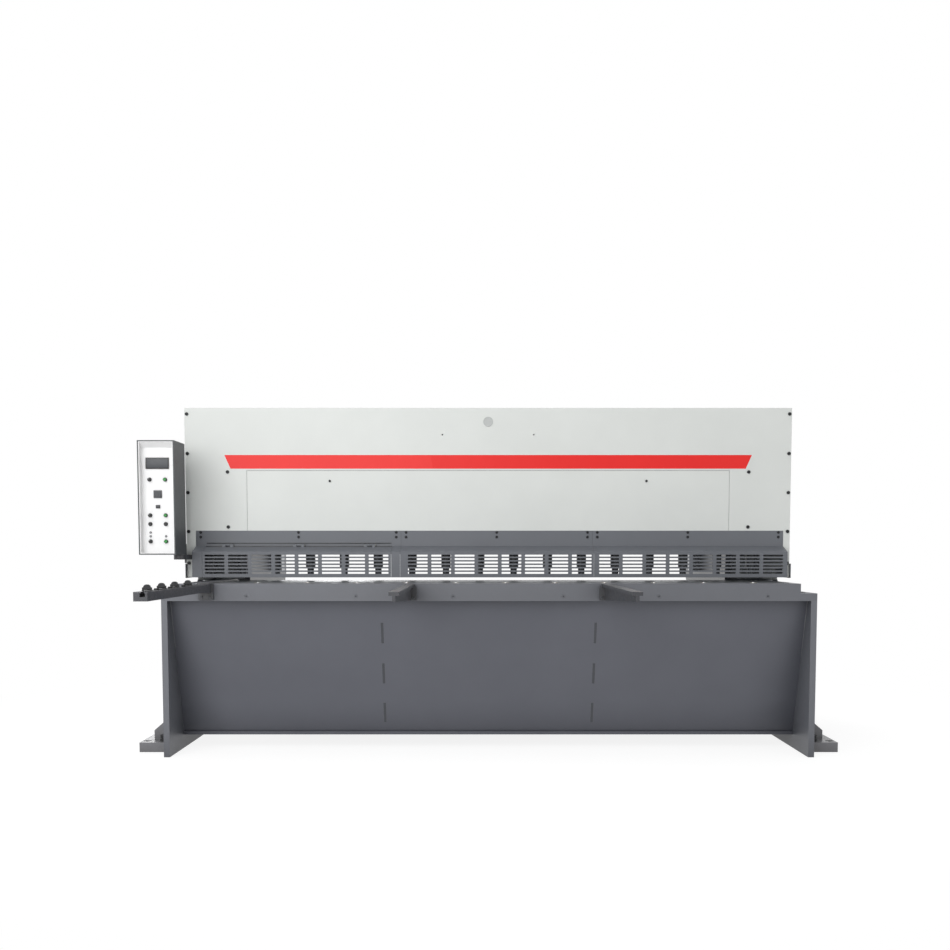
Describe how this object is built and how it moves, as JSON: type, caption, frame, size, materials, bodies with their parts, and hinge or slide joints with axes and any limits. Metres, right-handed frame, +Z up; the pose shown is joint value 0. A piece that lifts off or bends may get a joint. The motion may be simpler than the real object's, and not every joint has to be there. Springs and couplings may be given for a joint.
{
  "type": "hydraulic plate shear",
  "caption": "Hydraulic guillotine shear for sheet metal: side frames, blade beam, hold-downs, slotted finger guards, squaring and support arms, back gauge and a swivelling control box",
  "frame": {"origin": "centre of the four floor anchor holes, at the level of the floor", "axes": "+X to the right seen from the operator's side, +Y from the operator to the rear, +Z up"},
  "size_m": [3.58, 3.15, 1.792],
  "materials": {
    "frame_paint": "light grey enamel",
    "cover_paint": "light grey powder coat",
    "apron_paint": "mid grey powder coat",
    "guard_paint": "mid grey powder coat",
    "dark_paint": "dark grey enamel",
    "table_steel": "ground steel",
    "blade_steel": "ground tool steel",
    "machined_steel": "turned and milled steel",
    "chromed_rod": "hard chrome",
    "fastener_steel": "zinc plated",
    "cylinder_paint": "dark enamel",
    "tank_paint": "blue grey enamel",
    "motor_paint": "blue enamel",
    "pipe_steel": "drawn tube",
    "cabinet_paint": "light grey powder coat",
    "box_paint": "grey powder coat",
    "panel_white": "white powder coat",
    "panel_trim": "black plastic",
    "stop_steel": "black oxide",
    "button_green": "green plastic",
    "button_black": "black plastic"
  },
  "bodies": {
    "frame": {"access_panel": "cover_paint", "ball_transfers": "fastener_steel", "bed_beam": "dark_paint", "cover_screws": "fastener_steel", "electrical_cabinet": "cabinet_paint", "fixed_guards": "guard_paint", "flip_stop_bases": "stop_steel", "floor_feet": "dark_paint", "frame_bolts": "fastener_steel", "front_apron": "apron_paint", "front_cover": "cover_paint", "guard_rail": "guard_paint", "hold_down_beam": "dark_paint", "hold_down_cylinders": "cylinder_paint", "lower_blade": "blade_steel", "main_cylinders": "cylinder_paint", "oil_pipes": "pipe_steel", "oil_tank": "tank_paint", "pump_motor": "motor_paint", "ram_gibs": "machined_steel", "rear_ties": "frame_paint", "sheet_chute": "apron_paint", "side_frame_left": "frame_paint", "side_frame_right": "frame_paint", "squaring_arm": "dark_paint", "support_arms": "dark_paint", "swivel_bracket": "dark_paint", "table_front_bar": "dark_paint", "table_ribs": "frame_paint", "table_top": "table_steel", "upper_crossbeam": "frame_paint", "valve_block": "cylinder_paint"},
    "ram": {"blade_beam": "dark_paint", "upper_blade": "blade_steel", "blade_bolts_upper": "fastener_steel", "piston_rods": "chromed_rod", "gauge_arms": "dark_paint", "gauge_motor": "motor_paint"},
    "hold_downs": {"hold_down_feet": "machined_steel"},
    "guard_flap": {"guard_flap": "guard_paint"},
    "flip_stop_1": {"flip_stop_1": "stop_steel"},
    "flip_stop_2": {"flip_stop_2": "stop_steel"},
    "flip_stop_3": {"flip_stop_3": "stop_steel"},
    "flip_stop_4": {"flip_stop_4": "stop_steel"},
    "control": {"control_box": "box_paint", "control_panel": "panel_white", "panel_fittings": "panel_trim"},
    "gauge_carriage": {"gauge_carriages": "machined_steel"},
    "gauge_bar": {"gauge_bar": "machined_steel"},
    "gauge_screw_left": {"gauge_screw_left": "machined_steel"},
    "gauge_screw_right": {"gauge_screw_right": "machined_steel"},
    "cross_shaft": {"cross_shaft": "machined_steel"},
    "speed_knob": {"speed_knob": "button_black"},
    "start_button": {"start_button": "button_green"},
    "mode_selector": {"mode_selector": "button_black"},
    "gauge_button": {"gauge_button": "button_green"},
    "gauge_back_button": {"gauge_back_button": "button_black"},
    "gauge_front_button": {"gauge_front_button": "button_black"},
    "stroke_selector": {"stroke_selector": "button_black"},
    "cut_button": {"cut_button": "button_green"}
  },
  "joints": [
    {"name": "ram_slide", "type": "slide", "parent": "frame", "child": "ram", "axis": [0, 0, -1], "range_m": [0, 0.193]},
    {"name": "hold_down_slide", "type": "slide", "parent": "frame", "child": "hold_downs", "axis": [0, 0, -1], "range_m": [0, 0.0198], "stiffness_N_per_m": 20000, "springref_m": -0.04},
    {"name": "guard_flap_hinge", "type": "hinge", "parent": "frame", "child": "guard_flap", "pos_m": [-1.018, -0.395, 1.06], "axis": [-1, 0, 0], "range_deg": [0, 95]},
    {"name": "flip_stop_1_hinge", "type": "hinge", "parent": "frame", "child": "flip_stop_1", "pos_m": [-1.4005, -1.825, 0.877], "axis": [-1, 0, 0], "range_deg": [0, 90]},
    {"name": "flip_stop_2_hinge", "type": "hinge", "parent": "frame", "child": "flip_stop_2", "pos_m": [-1.4005, -1.624, 0.877], "axis": [-1, 0, 0], "range_deg": [0, 90]},
    {"name": "flip_stop_3_hinge", "type": "hinge", "parent": "frame", "child": "flip_stop_3", "pos_m": [-1.4005, -1.426, 0.877], "axis": [-1, 0, 0], "range_deg": [0, 90]},
    {"name": "flip_stop_4_hinge", "type": "hinge", "parent": "frame", "child": "flip_stop_4", "pos_m": [-1.4005, -1.209, 0.877], "axis": [-1, 0, 0], "range_deg": [0, 90]},
    {"name": "control_swivel", "type": "hinge", "parent": "frame", "child": "control", "pos_m": [-1.612, -0.563, 1.01], "axis": [0, 0, 1], "range_deg": [-90, 30]},
    {"name": "speed_knob_turn", "type": "hinge", "parent": "control", "child": "speed_knob", "pos_m": [-1.7215, -0.705, 1.391], "axis": [0, 1, 0], "range_deg": [-140, 140]},
    {"name": "start_push", "type": "slide", "parent": "control", "child": "start_button", "axis": [0, 1, 0], "range_m": [0, 0.0035], "stiffness_N_per_m": 800, "springref_m": -0.002},
    {"name": "mode_selector_turn", "type": "hinge", "parent": "control", "child": "mode_selector", "pos_m": [-1.7215, -0.705, 1.21], "axis": [0, 1, 0], "range_deg": [-45, 45]},
    {"name": "gauge_push", "type": "slide", "parent": "control", "child": "gauge_button", "axis": [0, 1, 0], "range_m": [0, 0.0035], "stiffness_N_per_m": 800, "springref_m": -0.002},
    {"name": "gauge_back_push", "type": "slide", "parent": "control", "child": "gauge_back_button", "axis": [0, 1, 0], "range_m": [0, 0.0035], "stiffness_N_per_m": 800, "springref_m": -0.002},
    {"name": "gauge_front_push", "type": "slide", "parent": "control", "child": "gauge_front_button", "axis": [0, 1, 0], "range_m": [0, 0.0035], "stiffness_N_per_m": 800, "springref_m": -0.002},
    {"name": "stroke_selector_turn", "type": "hinge", "parent": "control", "child": "stroke_selector", "pos_m": [-1.7215, -0.705, 1.078], "axis": [0, 1, 0], "range_deg": [-45, 45]},
    {"name": "cut_push", "type": "slide", "parent": "control", "child": "cut_button", "axis": [0, 1, 0], "range_m": [0, 0.0035], "stiffness_N_per_m": 800, "springref_m": -0.002},
    {"name": "gauge_slide", "type": "slide", "parent": "ram", "child": "gauge_carriage", "axis": [0, 1, 0], "range_m": [-0.7, 0.295]},
    {"name": "gauge_swing", "type": "hinge", "parent": "gauge_carriage", "child": "gauge_bar", "pos_m": [0, 0.625, 1.13], "axis": [-1, 0, 0], "range_deg": [0, 105]},
    {"name": "gauge_screw_left_spin", "type": "hinge", "parent": "ram", "child": "gauge_screw_left", "pos_m": [-1.315, 0.445, 1.08], "axis": [0, 1, 0], "continuous": true},
    {"name": "gauge_screw_right_spin", "type": "hinge", "parent": "ram", "child": "gauge_screw_right", "pos_m": [1.315, 0.445, 1.08], "axis": [0, 1, 0], "continuous": true},
    {"name": "cross_shaft_spin", "type": "hinge", "parent": "ram", "child": "cross_shaft", "pos_m": [0, 1.045, 1.218], "axis": [1, 0, 0], "continuous": true}
  ],
  "couplings": [
    {"joint": "gauge_screw_left_spin", "follows": "gauge_slide", "rad_per_m": 314.16},
    {"joint": "gauge_screw_right_spin", "follows": "gauge_slide", "rad_per_m": 314.16},
    {"joint": "cross_shaft_spin", "follows": "gauge_slide", "rad_per_m": 314.16}
  ]
}
